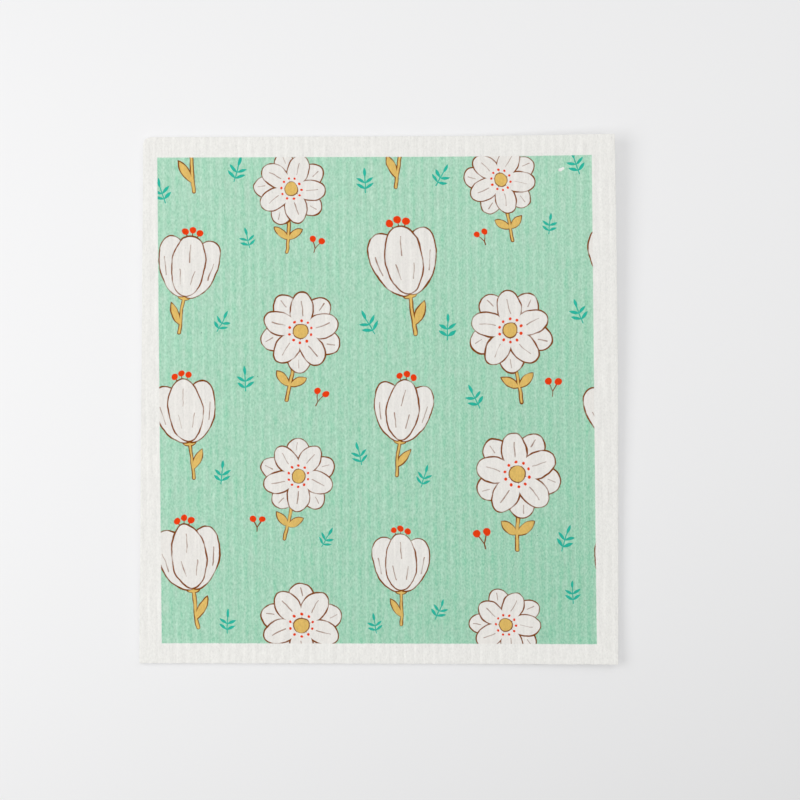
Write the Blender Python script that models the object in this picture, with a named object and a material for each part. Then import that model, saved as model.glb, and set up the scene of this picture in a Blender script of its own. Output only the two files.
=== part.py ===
"""Dry cellulose sponge cloth: one cut sheet of ribbed sponge, printed on its front.

Units are metres and +Z is up. The ribs run along Y, the long way of the sheet. The origin is
under the middle of the sheet, on the surface that it lies on. The sheet dried a little curled,
so its right side stands clear of that surface, most at the top right corner.
"""

import math

import bmesh
import bpy

NAME = "sponge_cloth"

# Cut sheet
CLOTH_WIDTH = 0.1800
CLOTH_LENGTH = 0.2000
SHEET_THICKNESS = 0.0019
CUT_FLARE = 0.0013
CORNER_RADIUS = 0.0027
EDGE_ROUND = 0.0009
EDGE_DROP = 0.0007

# Ribs pressed into the front
RIB_PITCH = 0.0036
RIB_HEIGHT = 0.00016
FINE_RIBS_PER_RIB = 3
FINE_RIB_HEIGHT = 0.00008
RIB_LEAN = 0.0100

# Curl of the right side
CURL_REACH = 0.0750
TOP_CORNER_LIFT = 0.0068
TOP_LIFT_FADE = 1.4
BOTTOM_CORNER_LIFT = 0.0015
BOTTOM_LIFT_FADE = 8

# Printed field, by its margins to the cut
MARGIN_LEFT = 0.0067
MARGIN_RIGHT = 0.0087
MARGIN_TOP = 0.0078
MARGIN_BOTTOM = 0.0076

# Print: blossoms in a half-drop repeat, with a sprig between them
REPEAT_WIDTH = 0.0410
REPEAT_LENGTH = 0.0560
BLOSSOM_RADIUS = 0.0155
BLOSSOM_WAIST = 0.0105
BLOSSOM_HEART = 0.0036
PETALS = 6
SPRIG_RADIUS = 0.0040
SPRIG_WAIST = 0.0004
SPRIG_LEAVES = 3

# Colours, as linear red, green and blue
SPONGE_WHITE = (0.84, 0.84, 0.82)
MINT_INK = (0.38, 0.66, 0.49)
GOLD_INK = (0.75, 0.45, 0.10)
TEAL_INK = (0.02, 0.33, 0.25)
SPONGE_ROUGHNESS = 0.95

# Fineness of the mesh
COLUMNS_PER_FINE_RIB = 2
ROW_STEP = 0.0200
CORNER_ROWS = 4
SIDE_BLEND = 4 * CORNER_RADIUS


def cut_left(y):
    """X of the left cut line: it runs out towards the bottom and in round the soft corner."""
    x = -CLOTH_WIDTH / 2 + CUT_FLARE * y / CLOTH_LENGTH
    rise = y - (CLOTH_LENGTH / 2 - CORNER_RADIUS)
    if rise > 0:
        x += CORNER_RADIUS - math.sqrt(max(0.0, CORNER_RADIUS**2 - rise**2))
    return x


def cut_right(y):
    """X of the right cut line, which runs out towards the bottom."""
    return CLOTH_WIDTH / 2 - CUT_FLARE * y / CLOTH_LENGTH


def lift(x, y):
    """Height of the underside: flat on the left, curled up along the right side."""
    side = max(0.0, (x - CLOTH_WIDTH / 2 + CURL_REACH) / CURL_REACH)
    up = y / CLOTH_LENGTH + 0.5
    top = TOP_CORNER_LIFT * up**TOP_LIFT_FADE
    bottom = BOTTOM_CORNER_LIFT * (1 - up) ** BOTTOM_LIFT_FADE
    return side**2 * (top + bottom)


def rib_height(x, y):
    """Relief of the front: a wave for each rib with finer ribs on it, along the ribs' lean."""
    turn = 2 * math.pi * (x + RIB_LEAN * y) / RIB_PITCH
    rib = RIB_HEIGHT * (1 + math.cos(turn)) / 2
    fine = FINE_RIB_HEIGHT * (1 + math.cos(FINE_RIBS_PER_RIB * turn)) / 2
    return rib + fine


def edge_drop(x, y):
    """How far the cut has pressed the front down, which rounds it off towards the edge."""
    half = CLOTH_LENGTH / 2
    inside = min(x - cut_left(y), cut_right(y) - x, half - y, half + y)
    share = max(0.0, 1 - inside / EDGE_ROUND)
    return EDGE_DROP * share**2


def row_positions():
    """Y of each row of points, from the bottom cut to the top one."""
    half = CLOTH_LENGTH / 2
    low = EDGE_ROUND - half
    high = half - CORNER_RADIUS
    count = math.ceil((high - low) / ROW_STEP)
    rows = [-half]
    rows += [low + (high - low) * step / count for step in range(count + 1)]
    for step in range(1, CORNER_ROWS + 1):
        angle = math.pi / 2 * step / CORNER_ROWS
        rows.append(high + CORNER_RADIUS * math.sin(angle))
    return rows


def column_positions(y):
    """X of each point of the row at y: along the ribs, and drawn to the cut near each side."""
    step = RIB_PITCH / FINE_RIBS_PER_RIB / COLUMNS_PER_FINE_RIB
    count = math.ceil(CLOTH_WIDTH / step)
    first = -count * step / 2 - RIB_LEAN * y
    last = first + count * step
    positions = []
    for index in range(count + 1):
        x = first + index * step
        left_share = max(0.0, 1 - (x - first) / SIDE_BLEND)
        right_share = max(0.0, 1 - (last - x) / SIDE_BLEND)
        x += left_share * (cut_left(y) - first) + right_share * (cut_right(y) - last)
        positions.append(x)
    return positions


def cloth_mesh():
    """The sheet as one closed mesh: a ribbed front, extruded to a smooth underside."""
    rows = row_positions()
    columns = [column_positions(y) for y in rows]
    last_row = len(rows) - 1
    last_column = len(columns[0]) - 1
    bm = bmesh.new()
    bmesh.ops.create_grid(bm, x_segments=last_column, y_segments=last_row, size=0.5)
    for vert in bm.verts:
        row = round((vert.co.y + 0.5) * last_row)
        column = round((vert.co.x + 0.5) * last_column)
        x = columns[row][column]
        y = rows[row]
        vert.co = (x, y, lift(x, y))
    extruded = bmesh.ops.extrude_face_region(bm, geom=bm.faces[:])
    for vert in extruded["geom"]:
        if isinstance(vert, bmesh.types.BMVert):
            x, y, low = vert.co
            vert.co.z = low + SHEET_THICKNESS + rib_height(x, y) - edge_drop(x, y)
    bmesh.ops.recalc_face_normals(bm, faces=bm.faces[:])
    mesh = bpy.data.meshes.new(NAME)
    bm.to_mesh(mesh)
    bm.free()
    mesh.shade_smooth()
    mesh.set_sharp_from_angle(angle=math.radians(50))
    return mesh


class PrintNodes:
    """Adds the nodes of the print to a material's tree."""

    def __init__(self, tree):
        self.tree = tree

    def maths(self, operation, *values):
        """A Math node on these values and sockets, and its result."""
        node = self.tree.nodes.new("ShaderNodeMath")
        node.operation = operation
        for socket, value in zip(node.inputs, values):
            if isinstance(value, bpy.types.NodeSocket):
                self.tree.links.new(value, socket)
            else:
                socket.default_value = value
        return node.outputs[0]

    def paint(self, ground, mask, colour):
        """The ground colour with another laid over it where the mask is 1."""
        node = self.tree.nodes.new("ShaderNodeMix")
        node.data_type = "RGBA"
        self.tree.links.new(mask, node.inputs["Factor"])
        if isinstance(ground, bpy.types.NodeSocket):
            self.tree.links.new(ground, node.inputs["A"])
        else:
            node.inputs["A"].default_value = (*ground, 1)
        node.inputs["B"].default_value = (*colour, 1)
        return node.outputs["Result"]

    def sheet_coordinates(self):
        """X across the ribs and Y along them, in metres."""
        where = self.tree.nodes.new("ShaderNodeTexCoord")
        split = self.tree.nodes.new("ShaderNodeSeparateXYZ")
        self.tree.links.new(where.outputs["Object"], split.inputs["Vector"])
        x, y, _ = split.outputs
        return self.maths("MULTIPLY_ADD", y, RIB_LEAN, x), y

    def within(self, value, low, high):
        """1 where the value lies between the two limits."""
        above = self.maths("GREATER_THAN", value, low)
        below = self.maths("LESS_THAN", value, high)
        return self.maths("MULTIPLY", above, below)

    def repeat(self, x, y, shift):
        """Coordinates about the middle of each cell of the half-drop repeat, shifted along Y."""
        across = self.maths("MULTIPLY_ADD", x, 1 / REPEAT_WIDTH, 0.5)
        along = self.maths("MULTIPLY_ADD", y, 1 / REPEAT_LENGTH, shift)
        drop = self.maths("MULTIPLY", self.maths("FLOOR", across), 0.5)
        along = self.maths("ADD", along, drop)
        cell_x = self.maths("SUBTRACT", self.maths("FLOORED_MODULO", across, 1), 0.5)
        cell_y = self.maths("SUBTRACT", self.maths("FLOORED_MODULO", along, 1), 0.5)
        cell_x = self.maths("MULTIPLY", cell_x, REPEAT_WIDTH)
        cell_y = self.maths("MULTIPLY", cell_y, REPEAT_LENGTH)
        return cell_x, cell_y

    def rosette(self, x, y, waist, radius, lobes):
        """1 inside a ring of rounded lobes, which reach from the waist out to the radius."""
        angle = self.maths("ARCTAN2", y, x)
        wave = self.maths("COSINE", self.maths("MULTIPLY", angle, lobes / 2))
        reach = self.maths("MULTIPLY_ADD", self.maths("ABSOLUTE", wave), radius - waist, waist)
        return self.maths("LESS_THAN", self.distance(x, y), reach)

    def distance(self, x, y):
        """Distance from the middle of the cell."""
        square = self.maths("MULTIPLY_ADD", x, x, self.maths("MULTIPLY", y, y))
        return self.maths("SQRT", square)


def cloth_material():
    """White sponge with the printed field: mint, white blossoms with gold hearts, teal sprigs."""
    material = bpy.data.materials.new("printed_sponge")
    material.use_nodes = True
    surface = material.node_tree.nodes["Principled BSDF"]
    surface.inputs["Roughness"].default_value = SPONGE_ROUGHNESS
    surface.inputs["Metallic"].default_value = 0.0
    nodes = PrintNodes(material.node_tree)
    x, y = nodes.sheet_coordinates()
    half_width = CLOTH_WIDTH / 2
    half_length = CLOTH_LENGTH / 2
    field = nodes.maths(
        "MULTIPLY",
        nodes.within(x, MARGIN_LEFT - half_width, half_width - MARGIN_RIGHT),
        nodes.within(y, MARGIN_BOTTOM - half_length, half_length - MARGIN_TOP),
    )
    field = nodes.maths("MULTIPLY", field, front_mask(nodes))
    blossom_x, blossom_y = nodes.repeat(x, y, 0.5)
    sprig_x, sprig_y = nodes.repeat(x, y, 0.0)
    blossom = nodes.rosette(blossom_x, blossom_y, BLOSSOM_WAIST, BLOSSOM_RADIUS, PETALS)
    heart = nodes.maths("LESS_THAN", nodes.distance(blossom_x, blossom_y), BLOSSOM_HEART)
    sprig = nodes.rosette(sprig_y, sprig_x, SPRIG_WAIST, SPRIG_RADIUS, SPRIG_LEAVES)
    colour = nodes.paint(MINT_INK, sprig, TEAL_INK)
    colour = nodes.paint(colour, blossom, SPONGE_WHITE)
    colour = nodes.paint(colour, heart, GOLD_INK)
    unprinted = nodes.maths("SUBTRACT", 1, field)
    colour = nodes.paint(colour, unprinted, SPONGE_WHITE)
    material.node_tree.links.new(colour, surface.inputs["Base Color"])
    return material


def front_mask(nodes):
    """1 on the faces that look up, so that the underside stays plain."""
    geometry = nodes.tree.nodes.new("ShaderNodeNewGeometry")
    split = nodes.tree.nodes.new("ShaderNodeSeparateXYZ")
    nodes.tree.links.new(geometry.outputs["True Normal"], split.inputs["Vector"])
    return nodes.maths("GREATER_THAN", split.outputs["Z"], 0.5)


def main():
    """Clears the scene and builds the cloth in its own collection."""
    for leftover in list(bpy.data.objects):
        bpy.data.objects.remove(leftover)
    collection = bpy.data.collections.new(NAME)
    bpy.context.scene.collection.children.link(collection)
    cloth = bpy.data.objects.new(NAME, cloth_mesh())
    cloth.data.materials.append(cloth_material())
    collection.objects.link(cloth)


main()
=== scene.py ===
"""The looks of a dry sponge cloth that lies on a pale table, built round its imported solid.

Lengths are metres in the solid's own frame, +Z up and +Y along the ribs. The print is drawn in
millimetres on the same axes.
"""

import logging
import math
from dataclasses import dataclass
from enum import Enum
from typing import Any, Union

import bmesh
import bpy
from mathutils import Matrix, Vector, noise


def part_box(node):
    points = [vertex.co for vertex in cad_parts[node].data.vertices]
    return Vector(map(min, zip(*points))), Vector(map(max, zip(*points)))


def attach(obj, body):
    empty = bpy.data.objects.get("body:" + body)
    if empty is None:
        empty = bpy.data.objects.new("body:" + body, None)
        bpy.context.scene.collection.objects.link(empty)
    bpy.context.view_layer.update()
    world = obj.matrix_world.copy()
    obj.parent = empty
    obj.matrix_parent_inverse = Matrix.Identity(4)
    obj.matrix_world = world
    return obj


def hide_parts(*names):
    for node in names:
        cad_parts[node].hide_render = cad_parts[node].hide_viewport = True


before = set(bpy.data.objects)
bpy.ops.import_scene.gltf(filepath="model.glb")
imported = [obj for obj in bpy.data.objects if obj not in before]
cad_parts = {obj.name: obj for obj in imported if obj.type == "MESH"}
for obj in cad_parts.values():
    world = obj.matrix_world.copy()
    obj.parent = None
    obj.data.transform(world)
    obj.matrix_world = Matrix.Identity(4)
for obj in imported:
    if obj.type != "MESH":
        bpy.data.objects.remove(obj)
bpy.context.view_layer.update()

log = logging.getLogger("sponge_cloth")
NODE = "sponge_cloth"
SIDE_ATTRIBUTE = "face_side"
MM = 1000.0
SCREEN_TOP = 255
SCREEN_KNEE = 0.04045
SCREEN_SLOPE = 12.92
SCREEN_OFFSET = 0.055
SCREEN_POWER = 2.4

Colour = tuple[float, float, float]
Operand = Union["Wire", float, tuple[float, float, float]]
Line = tuple[tuple[float, float], tuple[float, float]]


def screen(red: int, green: int, blue: int) -> Colour:
    """Turns a colour as a screen shows it into linear light, by the screen's standard curve.

    Args:
        red: The red level, 0 to 255.
        green: The green level.
        blue: The blue level.

    Returns:
        The linear red, green and blue, 0 to 1.
    """
    light = []
    for level in (red, green, blue):
        share = level / SCREEN_TOP
        curved = ((share + SCREEN_OFFSET) / (1 + SCREEN_OFFSET)) ** SCREEN_POWER
        light.append(share / SCREEN_SLOPE if share <= SCREEN_KNEE else curved)
    return tuple(light)


class Wire:
    """A node's output that can be written in sums: each operator adds the node it needs."""

    def __init__(self, bench: "Bench", socket: bpy.types.NodeSocket) -> None:
        """Keeps the socket and the bench that adds nodes to its tree."""
        self.bench = bench
        self.socket = socket

    @property
    def is_vector(self) -> bool:
        """Whether the output is a vector or a colour and not a number."""
        return self.socket.type in ("VECTOR", "RGBA")

    def __add__(self, other: Operand) -> "Wire":
        """Self plus other."""
        return self.bench.work("ADD", self, other)

    def __radd__(self, other: Operand) -> "Wire":
        """Other plus self."""
        return self.bench.work("ADD", other, self)

    def __sub__(self, other: Operand) -> "Wire":
        """Self less other."""
        return self.bench.work("SUBTRACT", self, other)

    def __rsub__(self, other: Operand) -> "Wire":
        """Other less self."""
        return self.bench.work("SUBTRACT", other, self)

    def __mul__(self, other: Operand) -> "Wire":
        """Self times other, which scales a vector where other is a number.

        Args:
            other: A wire, a number or three numbers.

        Returns:
            The product.
        """
        if self.is_vector and not is_vector(other):
            return self.bench.scaled(self, other)
        return self.bench.work("MULTIPLY", self, other)

    def __rmul__(self, other: Operand) -> "Wire":
        """Other times self."""
        return self * other

    def __truediv__(self, other: Operand) -> "Wire":
        """Self over other, which scales a vector where other is a number.

        Args:
            other: A wire, a number or three numbers.

        Returns:
            The quotient.
        """
        if self.is_vector and not is_vector(other):
            return self.bench.scaled(self, 1.0 / other)
        return self.bench.work("DIVIDE", self, other)

    def __rtruediv__(self, other: Operand) -> "Wire":
        """Other over self."""
        return self.bench.work("DIVIDE", other, self)

    def __pow__(self, other: Operand) -> "Wire":
        """Self to the power of other."""
        return self.bench.work("POWER", self, other)

    def __neg__(self) -> "Wire":
        """Zero less self."""
        return self * -1.0

    def __abs__(self) -> "Wire":
        """Self without its sign."""
        return self.bench.work("ABSOLUTE", self)

    def at_least(self, other: Operand) -> "Wire":
        """The larger of self and other."""
        return self.bench.work("MAXIMUM", self, other)

    def at_most(self, other: Operand) -> "Wire":
        """The smaller of self and other."""
        return self.bench.work("MINIMUM", self, other)

    def above(self, other: Operand) -> "Wire":
        """1 where self is more than other, and else 0."""
        return self.bench.work("GREATER_THAN", self, other)

    def root(self) -> "Wire":
        """The square root of self."""
        return self.bench.work("SQRT", self)

    def wave(self) -> "Wire":
        """The cosine of self."""
        return self.bench.work("COSINE", self)

    def length(self) -> "Wire":
        """The length of a vector."""
        return self.bench.work("LENGTH", self)

    def parts(self) -> tuple["Wire", "Wire", "Wire"]:
        """The X, Y and Z of a vector."""
        node = self.bench.node("ShaderNodeSeparateXYZ", {}, {"Vector": self})
        return tuple(Wire(self.bench, socket) for socket in node.outputs)


def is_vector(value: Operand) -> bool:
    """Whether the value is a vector, as a wire or as three numbers."""
    return value.is_vector if isinstance(value, Wire) else isinstance(value, tuple)


class Bench:
    """Adds nodes to one tree, for a material or for geometry."""

    def __init__(self, tree: bpy.types.NodeTree) -> None:
        """Keeps the tree."""
        self.tree = tree

    def node(
        self, kind: str, settings: dict[str, Any], sockets: dict[Any, Any]
    ) -> bpy.types.Node:
        """Adds a node of any kind.

        Args:
            kind: The node's type name.
            settings: The node's own properties, which are set first.
            sockets: Values or wires by the input's name or place.

        Returns:
            The new node.
        """
        made = self.tree.nodes.new(kind)
        for name, value in settings.items():
            setattr(made, name, value)
        for key, value in sockets.items():
            self.feed(made.inputs[key], value)
        return made

    def wire(
        self, kind: str, settings: dict[str, Any], sockets: dict[Any, Any], output: str = ""
    ) -> Wire:
        """Adds a node of any kind and takes one of its outputs.

        Args:
            kind: The node's type name.
            settings: The node's own properties, which are set first.
            sockets: Values or wires by the input's name or place.
            output: The output's name, or nothing for the first in use.

        Returns:
            The output.
        """
        made = self.node(kind, settings, sockets)
        if output:
            return Wire(self, made.outputs[output])
        return Wire(self, next(socket for socket in made.outputs if socket.enabled))

    def feed(self, socket: bpy.types.NodeSocket, value: Any) -> None:
        """Links a wire to a socket, or sets the socket to a value.

        Args:
            socket: The input to fill.
            value: A wire, a number, a vector or a colour.
        """
        if isinstance(value, Wire):
            self.tree.links.new(value.socket, socket)
        elif socket.type == "RGBA":
            socket.default_value = (*value, 1.0)
        else:
            socket.default_value = value

    def work(self, operation: str, *values: Operand) -> Wire:
        """Adds a Math node, or a Vector Math node where a value is a vector.

        Args:
            operation: The node's operation.
            values: What it works on, in the order of its sockets.

        Returns:
            The result.
        """
        kind = "ShaderNodeVectorMath" if any(map(is_vector, values)) else "ShaderNodeMath"
        return self.wire(kind, {"operation": operation}, dict(enumerate(values)))

    def scaled(self, vector: Operand, share: Operand) -> Wire:
        """The vector times a number."""
        sockets = {"Vector": vector, "Scale": share}
        return self.wire("ShaderNodeVectorMath", {"operation": "SCALE"}, sockets)

    def joined(self, x: Operand, y: Operand, z: Operand = 0.0) -> Wire:
        """The vector of three numbers."""
        return self.wire("ShaderNodeCombineXYZ", {}, {"X": x, "Y": y, "Z": z})

    def turned(self, place: Wire, angle: Operand) -> Wire:
        """The place as a shape sees it that is turned by the angle about the origin.

        Args:
            place: The place, as a vector.
            angle: The shape's turn in radians, anticlockwise.

        Returns:
            The turned place.
        """
        sockets = {"Vector": place, "Angle": -angle}
        return self.wire("ShaderNodeVectorRotate", {"rotation_type": "Z_AXIS"}, sockets)

    def step(
        self, value: Wire, start: float, end: float, low: float = 0.0, high: float = 1.0
    ) -> Wire:
        """Goes smoothly from low to high as the value goes from start to end.

        Args:
            value: The value.
            start: Where the result is low.
            end: Where the result is high.
            low: The first result.
            high: The last result.

        Returns:
            The result.
        """
        sockets = {"Value": value, "From Min": start, "From Max": end}
        sockets |= {"To Min": low, "To Max": high}
        return self.wire("ShaderNodeMapRange", {"interpolation_type": "SMOOTHSTEP"}, sockets)

    def noise(self, place: Wire, detail: float = 2.0) -> Wire:
        """Smooth noise about 0.5, with features about as large as one unit of the place.

        Args:
            place: The place, as a vector.
            detail: How many finer octaves it has.

        Returns:
            The noise, about 0 to 1.
        """
        sockets = {"Vector": place, "Scale": 1.0, "Detail": detail}
        return self.wire("ShaderNodeTexNoise", {}, sockets)

    def cells(self, place: Wire) -> tuple[Wire, Wire]:
        """Scattered points about one unit of the place apart.

        Args:
            place: The place, as a vector.

        Returns:
            The distance to the nearest point, and that point's chance colour.
        """
        sockets = {"Vector": place, "Scale": 1.0}
        made = self.node("ShaderNodeTexVoronoi", {"feature": "F1"}, sockets)
        return Wire(self, made.outputs["Distance"]), Wire(self, made.outputs["Color"])

    def mixed(self, ground: Operand, over: Operand, share: Operand) -> Wire:
        """One colour laid over another.

        Args:
            ground: The colour below.
            over: The colour above.
            share: How much the colour above covers, 0 to 1.

        Returns:
            The mixed colour.
        """
        sockets = {"Factor": share, "A": ground, "B": over}
        return self.wire("ShaderNodeMix", {"data_type": "RGBA"}, sockets)

    def seen(self) -> Wire:
        """Tells what the camera sees from what lights the cloth.

        Returns:
            1 for what it sees, straight, mirrored or through glass, and 0 for other light.
        """
        ray = self.node("ShaderNodeLightPath", {}, {})
        kinds = ("Is Camera Ray", "Is Glossy Ray", "Is Transmission Ray")
        straight, mirrored, through = (Wire(self, ray.outputs[kind]) for kind in kinds)
        return straight.at_least(mirrored).at_least(through)


def added(name: str, data: bpy.types.ID) -> bpy.types.Object:
    """Adds an object to the scene.

    Args:
        name: The object's name.
        data: Its mesh, lamp or camera.

    Returns:
        The object.
    """
    made = bpy.data.objects.new(name, data)
    bpy.context.scene.collection.objects.link(made)
    return made


class Ink(Enum):
    """The print's inks, as the light that each lets through to the sponge and back."""

    MINT_THIN = screen(208, 241, 224)
    MINT_FULL = screen(150, 221, 189)
    LINE = screen(138, 74, 14)
    GOLD = screen(240, 201, 114)
    RED = screen(250, 66, 8)
    TEAL = screen(44, 195, 173)
    SPECK = screen(112, 164, 142)
    WHITE = screen(252, 250, 249)
    BARE = (1.0, 1.0, 1.0)


class Drawing:
    """Lays inked shapes over one another, each given by its distance in millimetres, below 0 inside."""

    def __init__(self, bench: Bench, soft: float, press: Wire, load: Wire) -> None:
        """Starts with the mint ground.

        Args:
            bench: Where the nodes are added.
            soft: How far the ink has spread at an edge, in millimetres.
            press: How hard the pen presses here, about 1, which makes lines wider and darker.
            load: How much of the ground's ink there is here, 0 to 1, with partly painted rib shade and
                the darkening towards the bottom right in it.
        """
        self.bench = bench
        self.soft = soft
        self.press = press
        self.colour: Operand = bench.mixed(Ink.MINT_THIN.value, Ink.MINT_FULL.value, load)

    def fill(self, distance: Wire, ink: Ink, strength: Operand = 1.0) -> None:
        """Inks the inside of a shape.

        Args:
            distance: The distance to the shape.
            ink: The ink.
            strength: How much of the ink there is, 0 to 1.
        """
        cover = self.bench.step(distance, self.soft, -self.soft)
        self.colour = self.bench.mixed(self.colour, ink.value, cover * strength)

    def pen(self, distance: Wire, width: float, strength: float = 1.0) -> None:
        """Inks a pen line of about this width where the distance is 0.

        Args:
            distance: The distance to the line's middle.
            width: Its usual width in millimetres.
            strength: How dark it is, 0 to 1.
        """
        cover = (self.press * strength).at_most(1.0)
        self.fill(distance - self.press * (width / 2), Ink.LINE, cover)

    def line(self, distance: Wire, width: float) -> None:
        """Inks a pen line of about this width along a shape's outline."""
        self.pen(abs(distance), width)

    def disc(self, place: Wire, radius: float) -> Wire:
        """The distance to a disc about the origin."""
        return place.length() - radius

    def oval(self, place: Wire, across: float, along: float) -> Wire:
        """The distance to an ellipse about the origin.

        Args:
            place: The place, as a vector.
            across: Half its size along X.
            along: Half its size along Y.

        Returns:
            The distance.
        """
        near = (place * (1 / across, 1 / along, 0.0)).length()
        steep = (place * (1 / across**2, 1 / along**2, 0.0)).length()
        return near * (near - 1.0) / steep

    def leaf(self, place: Wire, across: float, along: float) -> Wire:
        """The distance to a leaf that lies along Y, with one of its two points at the origin.

        Args:
            place: The place, as a vector.
            across: Half its width.
            along: Half its length.

        Returns:
            The distance.
        """
        bow = (along**2 + across**2) / (2 * across)
        middle = self.folded(place - (0.0, along, 0.0))
        return (middle + (bow - across, 0.0, 0.0)).length() - bow

    def stroke(self, place: Wire, start: tuple[float, float], end: tuple[float, float]) -> Wire:
        """The distance to a straight line.

        Args:
            place: The place, as a vector.
            start: The line's start in millimetres.
            end: Its end.

        Returns:
            The distance.
        """
        run = (end[0] - start[0], end[1] - start[1], 0.0)
        square = run[0] ** 2 + run[1] ** 2
        from_start = place - (start[0], start[1], 0.0)
        share = self.bench.work("DOT_PRODUCT", from_start, run) / square
        share = share.at_least(0.0).at_most(1.0)
        return (from_start - self.bench.scaled(run, share)).length()

    def folded(self, place: Wire) -> Wire:
        """The place with its left half mirrored on to the right, for a shape and its mirror image."""
        x, y, _ = place.parts()
        return self.bench.joined(abs(x), y)

    def fanned(self, place: Wire, count: int) -> Wire:
        """The place turned into the sector round +Y, for a shape that repeats about the origin.

        Args:
            place: The place, as a vector.
            count: How many times the shape repeats in a full turn.

        Returns:
            The turned place.
        """
        x, y, _ = place.parts()
        sector = 2 * math.pi / count
        angle = self.bench.work("ARCTAN2", x, y)
        turns = self.bench.work("ROUND", angle / sector)
        return self.bench.turned(place, turns * -sector)


@dataclass(frozen=True)
class Blossom:
    """An open flower with two rings of petals, a stem and two leaves. Sizes are millimetres."""

    petals: int = 5
    head_height: float = 8.5
    front_middle: float = 7.9
    front_across: float = 4.3
    front_along: float = 6.2
    back_middle: float = 8.9
    back_across: float = 4.7
    back_along: float = 6.2
    heart: float = 2.7
    dot_reach: float = 4.1
    dot: float = 0.5
    front_crease: Line = ((0.3, 5.9), (-0.4, 10.9))
    back_crease: Line = ((0.5, 1.6), (0.1, 4.4))
    crease_strength: float = 0.6
    stem_length: float = 25.5
    stem_width: float = 1.15
    leaf_height: float = 0.8
    leaf_turn: float = 0.9
    leaf_across: float = 1.6
    leaf_along: float = 3.6
    line: float = 0.49
    fine_line: float = 0.36

    def paint(self, drawing: Drawing, place: Wire, spin: Wire) -> None:
        """Draws the flower about the place.

        Args:
            drawing: What it is drawn on.
            place: The place in the motif's own frame, in millimetres.
            spin: The turn of its head, in radians.
        """
        bench = drawing.bench
        head = place - (0.0, self.head_height, 0.0)
        self._stem(drawing, head)
        turned = bench.turned(head, spin)
        between = bench.turned(turned, math.pi / self.petals)
        back = drawing.fanned(between, self.petals) - (0.0, self.back_middle, 0.0)
        front = drawing.fanned(turned, self.petals)
        rings = (
            drawing.oval(back, self.back_across, self.back_along),
            drawing.oval(front - (0.0, self.front_middle, 0.0), self.front_across, self.front_along),
        )
        for ring in rings:
            drawing.fill(ring, Ink.WHITE)
            drawing.line(ring, self.line)
        creases = drawing.stroke(front, *self.front_crease)
        creases = creases.at_most(drawing.stroke(back, *self.back_crease))
        drawing.pen(creases, self.fine_line, self.crease_strength)
        centre = drawing.disc(head, self.heart)
        drawing.fill(centre, Ink.GOLD)
        drawing.line(centre, self.fine_line)
        dots = drawing.fanned(turned, 2 * self.petals) - (0.0, self.dot_reach, 0.0)
        drawing.fill(drawing.disc(dots, self.dot), Ink.RED)

    def _stem(self, drawing: Drawing, head: Wire) -> None:
        """Draws the gold stem with its pair of leaves.

        Args:
            drawing: What it is drawn on.
            head: The place about the middle of the flower's head.
        """
        foot = -self.stem_length
        stem = drawing.stroke(head, (0.0, 0.0), (0.0, foot)) - self.stem_width / 2
        pair = drawing.folded(head - (0.0, foot * self.leaf_height, 0.0))
        pair = drawing.bench.turned(pair, -self.leaf_turn)
        leaf = drawing.leaf(pair, self.leaf_across, self.leaf_along)
        plant = stem.at_most(leaf)
        drawing.fill(plant, Ink.GOLD)
        drawing.line(plant, self.fine_line)


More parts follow.
